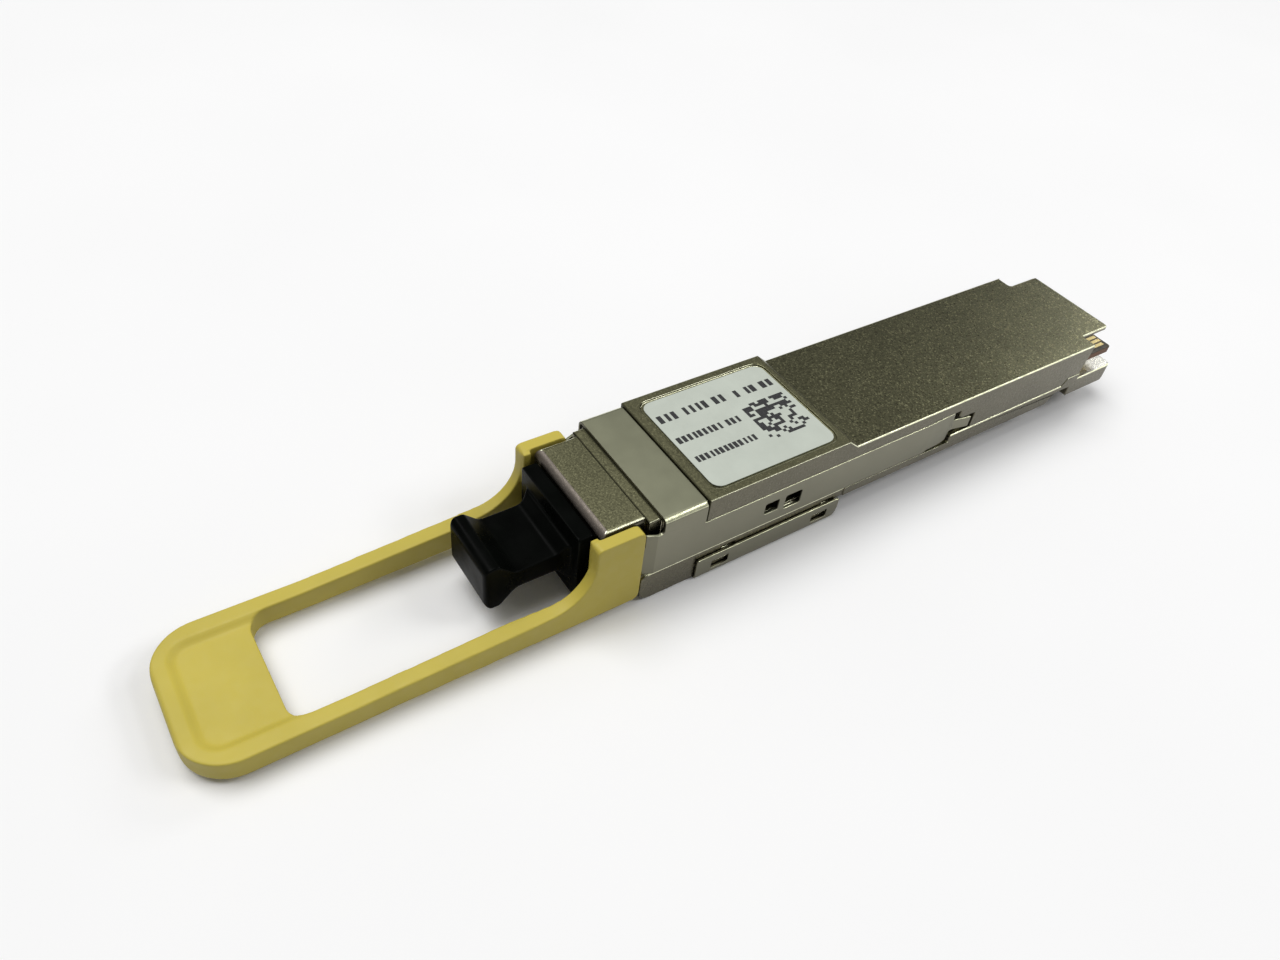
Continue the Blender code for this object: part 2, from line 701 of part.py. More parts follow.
def make_dust_plug(parent):
    flange_rear = 87.6
    flange_front = 89.4
    grip_front = 99.3
    upper = [
        (flange_front - 0.5, 2.6),
        (flange_front + 0.3, 2.6, 0.3),
        (flange_front + 1.3, 1.3, 0.8),
        (95.6, 1.2, 1.6),
        (97.6, 3.15, 0.4),
        (grip_front, 3.15, 0.6),
    ]
    lower = [(station, -z, *radius) for station, z, *radius in reversed(upper)]
    profile = [(station, PORT_Z + z, *radius) for station, z, *radius in upper + lower]
    plug = prism("dust_plug", "side", profile, -6.0, 6.0, parts)
    outline = mirrored([
        (5.0, flange_front - 0.6),
        (5.0, flange_front),
        (4.33, flange_front + 0.8, 1.0),
        (4.33, grip_front + 1),
    ])
    plan = prism("grip_plan", "plan", outline, 0.0, 12.0, cutters)
    combine(plug, plan, "INTERSECT")
    flange_outline = rectangle(6.35, PORT_Z - 4.8, PORT_Z + 4.8, 0.4)
    flange = prism("plug_flange", "front", flange_outline, flange_rear, flange_front, cutters)
    combine(plug, flange, "UNION")
    barrel_outline = rectangle(5.95, PORT_Z - 3.5, PORT_Z + 3.5, 0.4)
    barrel = prism("plug_barrel", "front", barrel_outline, 83.0, flange_rear + 0.2, cutters)
    combine(plug, barrel, "UNION")
    bore_outline = rectangle(5.0, PORT_Z - 2.6, PORT_Z + 2.6, 0.3)
    bore = prism("plug_bore", "front", bore_outline, 82.0, 86.6, cutters)
    combine(plug, bore, "DIFFERENCE")
    return finish(plug, parent, *BLACK_PLUG)


# -------------------------------------------------------------------------- label and fasteners

def make_label(parent):
    label_low = PLATEAU_TOP_Z - 0.19
    label_outline = rectangle(7.8, 54.9, 72.9, 1.3)
    label = prism("product_label", "plan", label_outline, label_low, label_low + 0.12, parts)
    return finish(label, parent, *LABEL_PAPER)


def make_shell_screw(name, side, parent):
    """A countersunk screw with a hexagonal socket, turned about its own axis."""
    head_z = CAGE_FLOOR_Z + 0.05
    profile = [(0.0, 6.1), (0.5, 6.0), (0.5, 0.62), (1.1, 0.6), (1.1, 0.0), (0.0, 0.0)]
    mesh = bpy.data.meshes.new(name)
    mesh.from_pydata([(r * MM, 0.0, z * MM) for r, z in profile], [(i, i + 1) for i in range(5)], [])
    place = Matrix.Translation(Vector((side * SCREW_X, along(SCREW_STATION), head_z)) * MM)
    screw = add_mesh_object(name, mesh, place, parts)
    turn = screw.modifiers.new("turned_profile", "SCREW")
    turn.steps = 16
    turn.render_steps = 16
    turn.use_merge_vertices = True
    turn.merge_threshold = WELD_DISTANCE
    socket = round_bar(
        f"screw_socket_{side}", 0.45, side * SCREW_X, SCREW_STATION, (2.0, head_z + 0.4), "Z", cutters, segments=6
    )
    combine(screw, socket, "DIFFERENCE")
    return finish(screw, parent, *SPRING_STEEL)


# ---------------------------------------------------------------------------- board and chips

def make_circuit_board(parent):
    notch = 1.9
    outline = mirrored([
        (8.2, BOARD_REAR, 0.4),
        (8.2, 12.0),
        (7.6, 12.6),
        (7.6, SCREW_STATION - notch),
        (SCREW_X - notch, SCREW_STATION - notch, 0.5),
        (SCREW_X - notch, SCREW_STATION + notch, 0.5),
        (7.6, SCREW_STATION + notch),
        (7.6, 56.0),
        (6.0, 56.6),
        (6.0, 60.5, 0.4),
    ])
    board = prism("circuit_board", "plan", outline, BOARD_LOW_Z, BOARD_TOP_Z, parts)
    return finish(board, parent, *BOARD_LAMINATE)


def make_chip(name, parent, look, x, station, size, on_top=True, bevel=0.08):
    """A package of size (width, length, height) mounted on one side of the board."""
    width, length, height = size
    x_range = (x - width / 2, x + width / 2)
    stations = (station - length / 2, station + length / 2)
    if on_top:
        z_range = (BOARD_TOP_Z + GAP, BOARD_TOP_Z + GAP + height)
    else:
        z_range = (BOARD_LOW_Z - GAP - height, BOARD_LOW_Z - GAP)
    chip = block(name, x_range, stations, z_range, parts)
    return finish(chip, parent, *look, bevel=bevel)


def make_board_parts(parent):
    make_chip("signal_processor", parent, CHIP_EPOXY, 0.0, 24.0, (10.0, 10.0, 1.1))
    make_chip("power_regulator", parent, CHIP_EPOXY, -4.6, 35.0, (3.0, 3.0, 0.8))
    make_chip("clock_crystal", parent, SPRING_STEEL, 4.6, 33.0, (2.5, 2.0, 0.6))
    make_chip("microcontroller", parent, CHIP_EPOXY, 0.0, 30.0, (5.0, 5.0, 0.85), on_top=False)
    make_chip("laser_driver", parent, BARE_SILICON, -2.1, 52.6, (2.6, 2.2, 0.4), bevel=0.04)
    make_chip("receiver_amplifier", parent, BARE_SILICON, 2.1, 52.6, (2.6, 2.2, 0.4), bevel=0.04)
    make_chip("laser_array", parent, BARE_SILICON, -1.3, 57.0, (1.1, 0.35, 0.2), bevel=0.02)
    make_chip("detector_array", parent, BARE_SILICON, 1.3, 57.0, (1.1, 0.35, 0.2), bevel=0.02)
    for index in range(3):
        x = (index - 1) * 3.2
        make_chip(f"power_inductor_{index + 1}", parent, FERRITE, x, 41.0, (2.4, 2.0, 1.1))
    for index in range(6):
        x = (index % 3 - 1) * 2.4
        station = 15.0 if index < 3 else 38.0
        make_chip(
            f"capacitor_{index + 1}", parent, CERAMIC_BODY, x, station, (1.0, 0.5, 0.5), on_top=False, bevel=0.05
        )
    pad_low = BOARD_TOP_Z + GAP + 1.1 + 0.05
    pad = block("thermal_pad", (-4.6, 4.6), (19.4, 28.6), (pad_low, CAGE_ROOF_Z - 0.05), parts)
    finish(pad, parent, *THERMAL_GEL, bevel=0.05)


# --------------------------------------------------------------------------------- optical train

def make_lens_block(parent):
    """A moulded lens bridge that stands over both arrays on two feet."""
    foot_z = BOARD_TOP_Z + GAP
    section = mirrored([
        (1.0, 9.3),
        (2.6, 9.3),
        (2.6, foot_z),
        (3.3, foot_z),
        (3.3, 10.6, 0.3),
    ])
    lens = prism("lens_block", "front", section, LENS_REAR, LENS_FRONT, parts)
    mirror_notch = [(56.2, 10.7), (57.4, 10.7), (57.4, 10.0)]
    notch = prism("mirror_notch", "side", mirror_notch, -2.2, 2.2, cutters)
    combine(lens, notch, "DIFFERENCE")
    return finish(lens, parent, *CLEAR_RESIN)


def make_lens_cover(parent):
    cover_outline = rectangle(3.0, LENS_REAR + 0.4, LENS_FRONT - 0.2, 0.4)
    cover = prism("lens_cover", "plan", cover_outline, 10.7, 11.15, parts)
    return finish(cover, parent, *FRAME_RESIN)


def make_fibre_ribbon(parent):
    """Twelve fibres in one flat ribbon, from the lens block down to the ferrule."""
    rear = LENS_FRONT + GAP
    bend_end = 66.4
    front = FERRULE_REAR - GAP
    rear_z = 9.95
    drop = rear_z - PORT_Z
    steps = 16
    middle = []
    for step in range(steps + 1):
        fraction = step / steps
        station = rear + (bend_end - rear) * fraction
        fall = (1 - math.cos(math.pi * fraction)) / 2
        slope = drop * math.pi / 2 * math.sin(math.pi * fraction) / (bend_end - rear)
        middle.append((station, rear_z - drop * fall, slope))
    middle.append((front, PORT_Z, 0.0))
    half = RIBBON_THICKNESS / 2
    upper = []
    lower = []
    for station, z, slope in middle:
        length = math.hypot(1.0, slope)
        upper.append((station + half * slope / length, z + half / length))
        lower.append((station - half * slope / length, z - half / length))
    outline = upper + lower[::-1]
    ribbon = prism("fibre_ribbon", "side", outline, -RIBBON_HALF, RIBBON_HALF, parts)
    return finish(ribbon, parent, *RIBBON_COATING)


def make_ferrule(parent):
    body = rectangle(3.2, PORT_Z - 1.25, PORT_Z + 1.25, 0.15)
    ferrule = prism("ferrule", "front", body, FERRULE_REAR, FERRULE_FRONT, parts, segments=2)
    flange_outline = rectangle(3.8, PORT_Z - 1.6, PORT_Z + 1.6, 0.2)
    flange = prism("ferrule_flange", "front", flange_outline, FERRULE_REAR, 69.8, cutters, segments=2)
    combine(ferrule, flange, "UNION")
    for side in (-1, 1):
        bore = round_bar(
            f"pin_bore_{side}", PIN_RADIUS + 0.08, side * PIN_SPACING / 2, PORT_Z, (67.0, 78.0), "Y", cutters
        )
        combine(ferrule, bore, "DIFFERENCE")
    return finish(ferrule, parent, *FERRULE_RESIN)


def make_guide_pin(name, side, parent):
    tip = 78.4
    pin = round_bar(name, PIN_RADIUS, side * PIN_SPACING / 2, PORT_Z, (FERRULE_REAR - 0.2, tip), "Y", parts)
    pin.data.shade_smooth()
    return finish(pin, parent, *SPRING_STEEL, bevel=0.1)


def make_ferrule_clamp(parent):
    outline = rectangle(3.8, PORT_Z - 1.6, PORT_Z + 1.6, 0.3)
    clamp = prism("ferrule_clamp", "front", outline, 66.9, FERRULE_REAR - 0.3, parts, segments=2)
    x_range = (-RIBBON_HALF - 0.15, RIBBON_HALF + 0.15)
    heights = (PORT_Z - RIBBON_THICKNESS / 2 - GAP, PORT_Z + RIBBON_THICKNESS / 2 + GAP)
    slot = block("ribbon_slot", x_range, (66.0, 69.0), heights, cutters)
    combine(clamp, slot, "DIFFERENCE")
    return finish(clamp, parent, *SPRING_STEEL)


def make_port_receptacle(parent):
    """A frame round the ferrule with two hooks that hold a connector."""
    frame = prism("port_receptacle", "front", rectangle(6.9, 2.2, 10.6, 0.5), 70.0, 72.0, parts)
    opening = rectangle(3.4, PORT_Z - 1.45, PORT_Z + 1.45, 0.15)
    hole = prism("ferrule_opening", "front", opening, 69.0, 73.0, cutters, segments=2)
    combine(frame, hole, "DIFFERENCE")
    for side in (-1, 1):
        outline = [
            (side * 4.75, 71.5),
            (side * 4.75, 79.4),
            (side * 4.25, 79.9),
            (side * 4.75, 80.8),
            (side * 5.6, 80.8),
            (side * 5.6, 71.5),
        ]
        hook = prism(f"receptacle_hook_{side}", "plan", outline, PORT_Z - 1.3, PORT_Z + 1.3, cutters)
        combine(frame, hook, "UNION")
    return finish(frame, parent, *FRAME_RESIN)


def make_port_gasket(parent):
    outer = rectangle(6.9, 2.2, 10.6, 0.5)
    gasket = prism("port_gasket", "front", outer, 72.15, 72.85, parts)
    inner = rectangle(5.85, 2.95, 9.85, 0.4)
    opening = prism("gasket_opening", "front", inner, 71.0, 74.0, cutters)
    combine(gasket, opening, "DIFFERENCE")
    return finish(gasket, parent, *GASKET_RUBBER)


# ------------------------------------------------------------------------------------- assembly

clear_scene()
parts = new_collection("optical_transceiver_module")
cutters = new_collection("cutters")

module_frame = add_empty("module_frame", (0, 0, 0))
latch_travel = add_empty("latch_travel", (0, along(BAND_FRONT), PORT_Z))
plug_travel = add_empty("plug_travel", (0, along(NOSE_FRONT), PORT_Z))
bpy.context.view_layer.update()

make_upper_shell(module_frame)
make_lower_shell(module_frame)
make_bottom_clip(module_frame)
make_label(module_frame)
make_circuit_board(module_frame)
make_board_parts(module_frame)
make_lens_block(module_frame)
make_lens_cover(module_frame)
make_fibre_ribbon(module_frame)
make_ferrule(module_frame)
make_ferrule_clamp(module_frame)
make_port_receptacle(module_frame)
make_port_gasket(module_frame)
for side_name, side_sign in (("left", -1), ("right", 1)):
    make_guide_pin(f"guide_pin_{side_name}", side_sign, module_frame)
    make_shell_screw(f"shell_screw_{side_name}", side_sign, module_frame)
    make_return_spring(f"return_spring_{side_name}", side_sign, module_frame)
make_latch_slider(latch_travel)
make_pull_tab(latch_travel)
make_dust_plug(plug_travel)
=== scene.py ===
"""Looks of the pluggable optical transceiver module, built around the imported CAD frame.

Same frame as the CAD: +X right, +Y towards the card edge, +Z up. A station is a distance forward
from the rear end, so it runs towards -Y.
"""

import json
import math
import random

import bmesh
import bpy
from mathutils import Euler, Matrix, Vector

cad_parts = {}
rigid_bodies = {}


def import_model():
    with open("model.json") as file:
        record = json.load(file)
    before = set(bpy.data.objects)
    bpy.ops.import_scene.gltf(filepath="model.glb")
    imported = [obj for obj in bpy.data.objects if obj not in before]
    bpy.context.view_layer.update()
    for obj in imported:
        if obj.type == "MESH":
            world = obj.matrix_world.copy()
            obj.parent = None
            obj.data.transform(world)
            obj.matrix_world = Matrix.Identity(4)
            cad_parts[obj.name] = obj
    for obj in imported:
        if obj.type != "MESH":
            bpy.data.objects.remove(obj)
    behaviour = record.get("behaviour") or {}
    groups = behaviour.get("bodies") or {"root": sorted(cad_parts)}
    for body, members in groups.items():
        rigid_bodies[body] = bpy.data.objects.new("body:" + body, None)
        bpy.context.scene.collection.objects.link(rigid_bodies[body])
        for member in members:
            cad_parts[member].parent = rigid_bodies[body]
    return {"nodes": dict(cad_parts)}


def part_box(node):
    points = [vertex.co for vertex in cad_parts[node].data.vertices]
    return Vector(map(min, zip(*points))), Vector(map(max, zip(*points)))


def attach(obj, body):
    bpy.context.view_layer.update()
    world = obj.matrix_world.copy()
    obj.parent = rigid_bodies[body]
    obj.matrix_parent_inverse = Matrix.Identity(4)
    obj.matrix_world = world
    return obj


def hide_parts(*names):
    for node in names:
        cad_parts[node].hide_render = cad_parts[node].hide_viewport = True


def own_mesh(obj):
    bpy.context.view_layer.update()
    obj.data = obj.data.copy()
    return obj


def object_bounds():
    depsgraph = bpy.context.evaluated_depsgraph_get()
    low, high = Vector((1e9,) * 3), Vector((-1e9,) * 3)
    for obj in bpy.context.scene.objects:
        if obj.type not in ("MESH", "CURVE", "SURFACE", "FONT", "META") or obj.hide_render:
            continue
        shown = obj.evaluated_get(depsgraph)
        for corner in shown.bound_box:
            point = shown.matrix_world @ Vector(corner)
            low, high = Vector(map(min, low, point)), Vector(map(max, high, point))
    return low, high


for leftover in list(bpy.data.objects):
    bpy.data.objects.remove(leftover, do_unlink=True)
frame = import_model()
CAD_LOW, CAD_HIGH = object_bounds()

MM = 0.001
REAR_Y = CAD_HIGH.y / MM
WELD_M = 0.000002
FLAT_ANGLE = 0.02
SHARP_ANGLE = math.radians(28)
CREASE_ANGLE = math.radians(50)
NARROW_SHARE = 0.35


# ------------------------------------------------------------------------------------ mesh helpers

def along(station):
    """World Y, in millimetres, of a station measured forward from the rear end."""
    return REAR_Y - station


def add_object(name, data):
    piece = bpy.data.objects.new(name, data)
    bpy.context.scene.collection.objects.link(piece)
    return piece


def drop(piece):
    bpy.data.objects.remove(piece, do_unlink=True)


def rounded(corners, segments):
    """Outline points from corners (u, v) or (u, v, radius)."""
    points = []
    count = len(corners)
    for index, corner in enumerate(corners):
        centre = Vector(corner[:2])
        radius = corner[2] if len(corner) > 2 else 0.0
        if radius == 0.0:
            points.append(centre)
            continue
        back = (Vector(corners[index - 1][:2]) - centre).normalized()
        ahead = (Vector(corners[(index + 1) % count][:2]) - centre).normalized()
        half_angle = back.angle(ahead) / 2
        pivot = centre + (back + ahead).normalized() * radius / math.sin(half_angle)
        start = centre + back * radius / math.tan(half_angle) - pivot
        sweep = start.angle_signed(centre + ahead * radius / math.tan(half_angle) - pivot)
        for step in range(segments + 1):
            points.append(pivot + Matrix.Rotation(-sweep * step / segments, 2) @ start)
    return points


def mirrored(corners):
    """Closes a plan or front outline by repeating its right side on the left."""
    return corners + [(-corner[0], *corner[1:]) for corner in reversed(corners)]


def rectangle(half_width, low, high, radius=0.0):
    return mirrored([(half_width, low, radius), (half_width, high, radius)])


def prism(name, plane, corners, low, high, segments=10):
    """A flat outline made solid. plan: (x, station), side: (station, z), front: (x, z)."""
    cage = bmesh.new()
    place = {
        "plan": lambda u, v, w: (u, along(v), w),
        "side": lambda u, v, w: (w, along(u), v),
        "front": lambda u, v, w: (u, along(w), v),
    }[plane]
    points = rounded(corners, segments)
    rings = []
    for level in (low, high):
        rings.append([cage.verts.new(Vector(place(u, v, level)) * MM) for u, v in points])
    cage.faces.new(rings[0])
    cage.faces.new(rings[1])
    for index in range(len(points)):
        after = (index + 1) % len(points)
        cage.faces.new((rings[0][index], rings[0][after], rings[1][after], rings[1][index]))
    bmesh.ops.recalc_face_normals(cage, faces=cage.faces)
    mesh = bpy.data.meshes.new(name)
    cage.to_mesh(mesh)
    cage.free()
    return add_object(name, mesh)


def block(name, x_range, stations, z_range):
    (left, right), (low, high) = x_range, z_range
    return prism(name, "front", [(left, low), (right, low), (right, high), (left, high)], *stations)


def bake(piece):
    """Replaces a piece's mesh by what its modifiers make of it."""
    graph = bpy.context.evaluated_depsgraph_get()
    mesh = bpy.data.meshes.new_from_object(piece.evaluated_get(graph))
    piece.modifiers.clear()
    piece.data = mesh


def combine(piece, tool, operation):
    """Joins, cuts or intersects a piece with a tool and drops the tool."""
    modifier = piece.modifiers.new(operation.lower(), "BOOLEAN")
    modifier.operation = operation
    modifier.object = tool
    modifier.solver = "EXACT"
    bake(piece)
    drop(tool)


def soften(piece, voxel, rounds, kept=1.0):
    """Even skin with soft edges, as a mould leaves them; kept is the share of its faces that stay."""
    remesh = piece.modifiers.new("even_skin", "REMESH")
    remesh.mode = "VOXEL"
    remesh.voxel_size = voxel * MM
    remesh.use_smooth_shade = True
    smooth = piece.modifiers.new("soft_edges", "SMOOTH")
    smooth.factor = 0.5
    smooth.iterations = rounds
    if kept < 1.0:
        piece.modifiers.new("fewer_faces", "DECIMATE").ratio = kept
    bake(piece)
    piece.data.shade_smooth()


def break_edges(piece, width, segments=2):
    """Fine rounding along every sharp edge, finer where a face beside it is narrow."""
    cage = bmesh.new()
    cage.from_mesh(piece.data)
    weights = cage.edges.layers.float.new("bevel_weight_edge")
    for edge in cage.edges:
        if edge.is_manifold and edge.calc_face_angle() > SHARP_ANGLE:
            room = min(face.calc_area() for face in edge.link_faces) / edge.calc_length() / MM
            edge[weights] = min(1.0, NARROW_SHARE * room / width)
    bmesh.ops.triangulate(cage, faces=cage.faces, quad_method="BEAUTY", ngon_method="BEAUTY")
    cage.to_mesh(piece.data)
    cage.free()
    bevel = piece.modifiers.new("broken_edges", "BEVEL")
    bevel.width = width * MM
    bevel.segments = segments
    bevel.limit_method = "WEIGHT"
    bevel.use_clamp_overlap = False
    bake(piece)
    piece.data.shade_smooth()
    piece.data.set_sharp_from_angle(angle=CREASE_ANGLE)
    flats = piece.modifiers.new("even_flats", "WEIGHTED_NORMAL")
    flats.weight = 100
    flats.keep_sharp = True
    bake(piece)


def cad_copy(node, name, width, segments=2, zone=None):
    """The CAD node's shape, welded, with its flats merged and its edges broken."""
    cage = bmesh.new()
    cage.from_mesh(frame["nodes"][node].data)
    bmesh.ops.remove_doubles(cage, verts=cage.verts, dist=WELD_M)
    bmesh.ops.dissolve_limit(cage, angle_limit=FLAT_ANGLE, verts=cage.verts, edges=cage.edges)
    for face in cage.faces:
        face.smooth = True
    mesh = bpy.data.meshes.new(name)
    cage.to_mesh(mesh)
    cage.free()
    piece = add_object(name, mesh)
    piece.data.set_sharp_from_angle(angle=SHARP_ANGLE)
    break_edges(piece, width, segments)
    for face in piece.data.polygons:
        face.material_index = zone(face.center, face.normal) if zone else 0
    return piece


def settle(piece, body, slot, materials, *nodes):
    """Gives a piece its finish and its body, and hides the CAD nodes that it stands for."""
    indices = [face.material_index for face in piece.data.polygons]
    piece.data.materials.clear()
    for material in materials:
        piece.data.materials.append(material)
    for face, index in zip(piece.data.polygons, indices):
        face.material_index = min(index, len(materials) - 1)
    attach(piece, body)
    if nodes:
        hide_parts(*nodes)


# -------------------------------------------------------------------------------- material helpers

class Shader:
    """A node material with short calls for the textures that the finishes share."""

    def __init__(self, name, colour, roughness, metallic=0.0):
        self.tone = colour
        self.polish = roughness
        self.material = bpy.data.materials.new(name)
        self.material.use_nodes = True
        self.nodes = self.material.node_tree.nodes
        self.links = self.material.node_tree.links
        self.principled = self.nodes["Principled BSDF"]
        self.principled.inputs["Base Color"].default_value = (*colour, 1.0)
        self.principled.inputs["Roughness"].default_value = roughness
        self.principled.inputs["Metallic"].default_value = metallic
        self.place = self.nodes.new("ShaderNodeTexCoord").outputs["Object"]

    def set(self, name, value):
        self.principled.inputs[name].default_value = value

    def stretched(self, scale):
        mapping = self.nodes.new("ShaderNodeMapping")
        mapping.inputs["Scale"].default_value = scale
        self.links.new(self.place, mapping.inputs["Vector"])
        return mapping.outputs["Vector"]

    def noise(self, grain, detail=2.0, stretch=None):
        """Noise with grains of about that size, in millimetres."""
        node = self.nodes.new("ShaderNodeTexNoise")
        node.inputs["Scale"].default_value = 1.0 / (grain * MM)
        node.inputs["Detail"].default_value = detail
        node.inputs["Roughness"].default_value = 0.5
        place = self.place if stretch is None else self.stretched(stretch)
        self.links.new(place, node.inputs["Vector"])
        return node.outputs["Fac"]

    def cells(self, grain):
        """Distance from the middle of each grain."""
        node = self.nodes.new("ShaderNodeTexVoronoi")
        node.inputs["Scale"].default_value = 1.0 / (grain * MM)
        self.links.new(self.place, node.inputs["Vector"])
        return node.outputs["Distance"]

    def upward(self):
        """1 on a face that looks up, 0.5 on an upright one and 0 on one that looks down."""
        geometry = self.nodes.new("ShaderNodeNewGeometry")
        split = self.nodes.new("ShaderNodeSeparateXYZ")
        self.links.new(geometry.outputs["Normal"], split.inputs["Vector"])
        scale = self.nodes.new("ShaderNodeMath")
        scale.operation = "MULTIPLY_ADD"
        scale.inputs[1].default_value = 0.5
        scale.inputs[2].default_value = 0.5
        self.links.new(split.outputs["Z"], scale.inputs[0])
        return scale.outputs["Value"]

    def ramp(self, source, stops):
        """stops are (position, value) or (position, colour)."""
        node = self.nodes.new("ShaderNodeValToRGB")
        elements = node.color_ramp.elements
        while len(elements) < len(stops):
            elements.new(0.5)
        for element, (position, value) in zip(elements, stops):
            colour = (value, value, value) if isinstance(value, float) else value
            element.position = position
            element.color = (*colour, 1.0)
        self.links.new(source, node.inputs["Fac"])
        return node.outputs["Color"]

    def mix(self, factor, first, second, blend="MIX"):
        """Mixes two colours; each argument is a value, a colour or another node's output."""
        node = self.nodes.new("ShaderNodeMix")
        node.data_type = "RGBA"
        node.blend_type = blend
        factor_socket, first_socket, second_socket = (node.inputs[index] for index in (0, 6, 7))
        for socket, value in ((factor_socket, factor), (first_socket, first), (second_socket, second)):
            if isinstance(value, bpy.types.NodeSocket):
                self.links.new(value, socket)
            elif isinstance(value, float):
                socket.default_value = value
            else:
                socket.default_value = (*value, 1.0)
        return node.outputs[2]

    def colour(self, source):
        self.links.new(source, self.principled.inputs["Base Color"])

    def roughness(self, source):
        self.links.new(source, self.principled.inputs["Roughness"])

    def vary_tone(self, source, darkest, lightest, low=0.3, high=0.7):
        """Base colour between two tints of the material's own, as the source goes from low to high."""
        stops = [(low, tint(self.tone, darkest)), (high, tint(self.tone, lightest))]
        return self.ramp(source, stops)

    def vary_polish(self, source, smoother, rougher, low=0.3, high=0.7):
        """Roughness between the material's own less smoother and plus rougher."""
        stops = [(low, self.polish - smoother), (high, self.polish + rougher)]
        self.roughness(self.ramp(source, stops))

    def bump(self, layers):
        """layers are (height source, strength, depth in millimetres), coarse first."""
        normal = None
        for source, strength, depth in layers:
            node = self.nodes.new("ShaderNodeBump")
            node.inputs["Strength"].default_value = strength
            node.inputs["Distance"].default_value = depth * MM
            self.links.new(source, node.inputs["Height"])
            if normal is not None:
                self.links.new(normal, node.inputs["Normal"])
            normal = node.outputs["Normal"]
        self.links.new(normal, self.principled.inputs["Normal"])


def tint(colour, factor):
    return tuple(min(1.0, channel * factor) for channel in colour)


# --------------------------------------------------------------------------------------- materials

NICKEL = (0.21, 0.205, 0.118)
# Darker, pinkish nickel for the nose lip, painted to set the tone of its highlight and reflection.
LIP_NICKEL = (0.20, 0.175, 0.15)
# Darker, warm-tinted nickel for the flanks and underside: painted shade with a painted warm reflection.
SHADED_FLANK_NICKEL = (0.145, 0.135, 0.097)
SHEET_NICKEL = (0.60, 0.608, 0.42)
# Darker nickel for sheet faces that look sideways or forward: painted shade.
SHADED_SIDE_NICKEL = (0.206, 0.199, 0.146)
YELLOW = (0.56, 0.46, 0.071)


def make_casting(name, colour, grain, depth, roughness, glint_paint):
    """Blasted nickel plate: faint cloudy staining, with a grain whose bright specks are painted glints
    in the colour.
    """
    shader = Shader(name, colour, roughness, 1.0)
    grains = shader.noise(grain, 3.0)
    cloud = shader.vary_tone(shader.noise(7.0, 3.0), 0.9, 1.08)
    # grain tone, with the top of the ramp painting bright specks into the colour as glints
    grain_tone_and_glints = shader.ramp(grains, [(0.32, 0.78), (0.48, 0.92), (0.58, 1.12), (0.69, 2.6)])
    shader.colour(shader.mix(glint_paint, cloud, grain_tone_and_glints, "MULTIPLY"))
    shader.vary_polish(shader.noise(grain * 1.7, 2.0), 0.1, 0.12, high=0.75)
    shader.bump([(shader.noise(grain * 3.0, 2.0), 0.4, depth), (grains, 0.9, depth)])
    return shader.material


def make_sheet(name, colour, roughness):
    """Smooth stamped sheet with hair-fine rolling lines and light scuffs."""
    shader = Shader(name, colour, roughness, 1.0)
    lines = shader.noise(0.12, 2.0, (1.0, 0.04, 1.0))
    shader.colour(shader.vary_tone(shader.noise(9.0, 2.0), 0.97, 1.03))
    shader.vary_polish(shader.noise(2.5, 3.0), 0.02, 0.03, high=0.75)
    shader.bump([(lines, 0.08, 0.004), (shader.noise(0.09, 1.0), 0.12, 0.003)])
    return shader.material


def make_worn_highlit_edge(name, colour):
    """Edges rubbed bright, with nicks; the colour passed in is set lighter still, as a painted
    highlight.
    """
    shader = Shader(name, colour, 0.34, 1.0)
    shader.colour(shader.vary_tone(shader.noise(1.1, 4.0), 0.85, 1.15, 0.35, 0.65))
    shader.vary_polish(shader.noise(0.6, 3.0), 0.04, 0.08)
    shader.bump([(shader.noise(0.4, 2.0), 0.08, 0.006)])
    return shader.material


def make_elastomer():
    """Soft yellow moulding with painted shade on its upright sides, a fine eroded mould texture and a
    few dirt flecks.
    """
    shader = Shader("yellow_elastomer", YELLOW, 0.52)
    shader.set("Subsurface Weight", 0.08)
    shader.set("Subsurface Radius", (0.002, 0.0015, 0.0004))
    shader.set("Specular IOR Level", 0.4)
    tone = shader.vary_tone(shader.noise(9.0, 3.0), 0.95, 1.04)
    flecks = shader.ramp(shader.cells(7.0), [(0.018, 1.0), (0.03, 0.0)])
    # painted shade: faces that stand upright are darker than faces that look up
    painted_side_shade = shader.ramp(shader.upward(), [(0.55, 0.7), (0.95, 1.0)])
    tone_with_side_shade = shader.mix(1.0, tone, painted_side_shade, "MULTIPLY")
    shader.colour(shader.mix(flecks, tone_with_side_shade, (0.09, 0.06, 0.02)))
    shader.vary_polish(shader.noise(1.4, 4.0), 0.08, 0.08)
    shader.bump([(shader.noise(1.6, 2.0), 0.05, 0.03), (shader.noise(0.16, 2.0), 0.3, 0.008)])
    return shader.material


def make_black_plastic():
    """Satin moulded plastic with a fine texture and faint handling smears."""
    shader = Shader("black_plug_plastic", (0.0014, 0.0018, 0.0014), 0.28)
    shader.set("Specular IOR Level", 0.035)
    shader.colour(shader.vary_tone(shader.noise(2.5, 4.0), 0.8, 1.5, 0.35, 0.75))
    shader.vary_polish(shader.noise(3.5, 5.0), 0.08, 0.14, high=0.72)
    shader.bump([(shader.noise(0.9, 2.0), 0.1, 0.02), (shader.noise(0.14, 2.0), 0.25, 0.006)])
    return shader.material


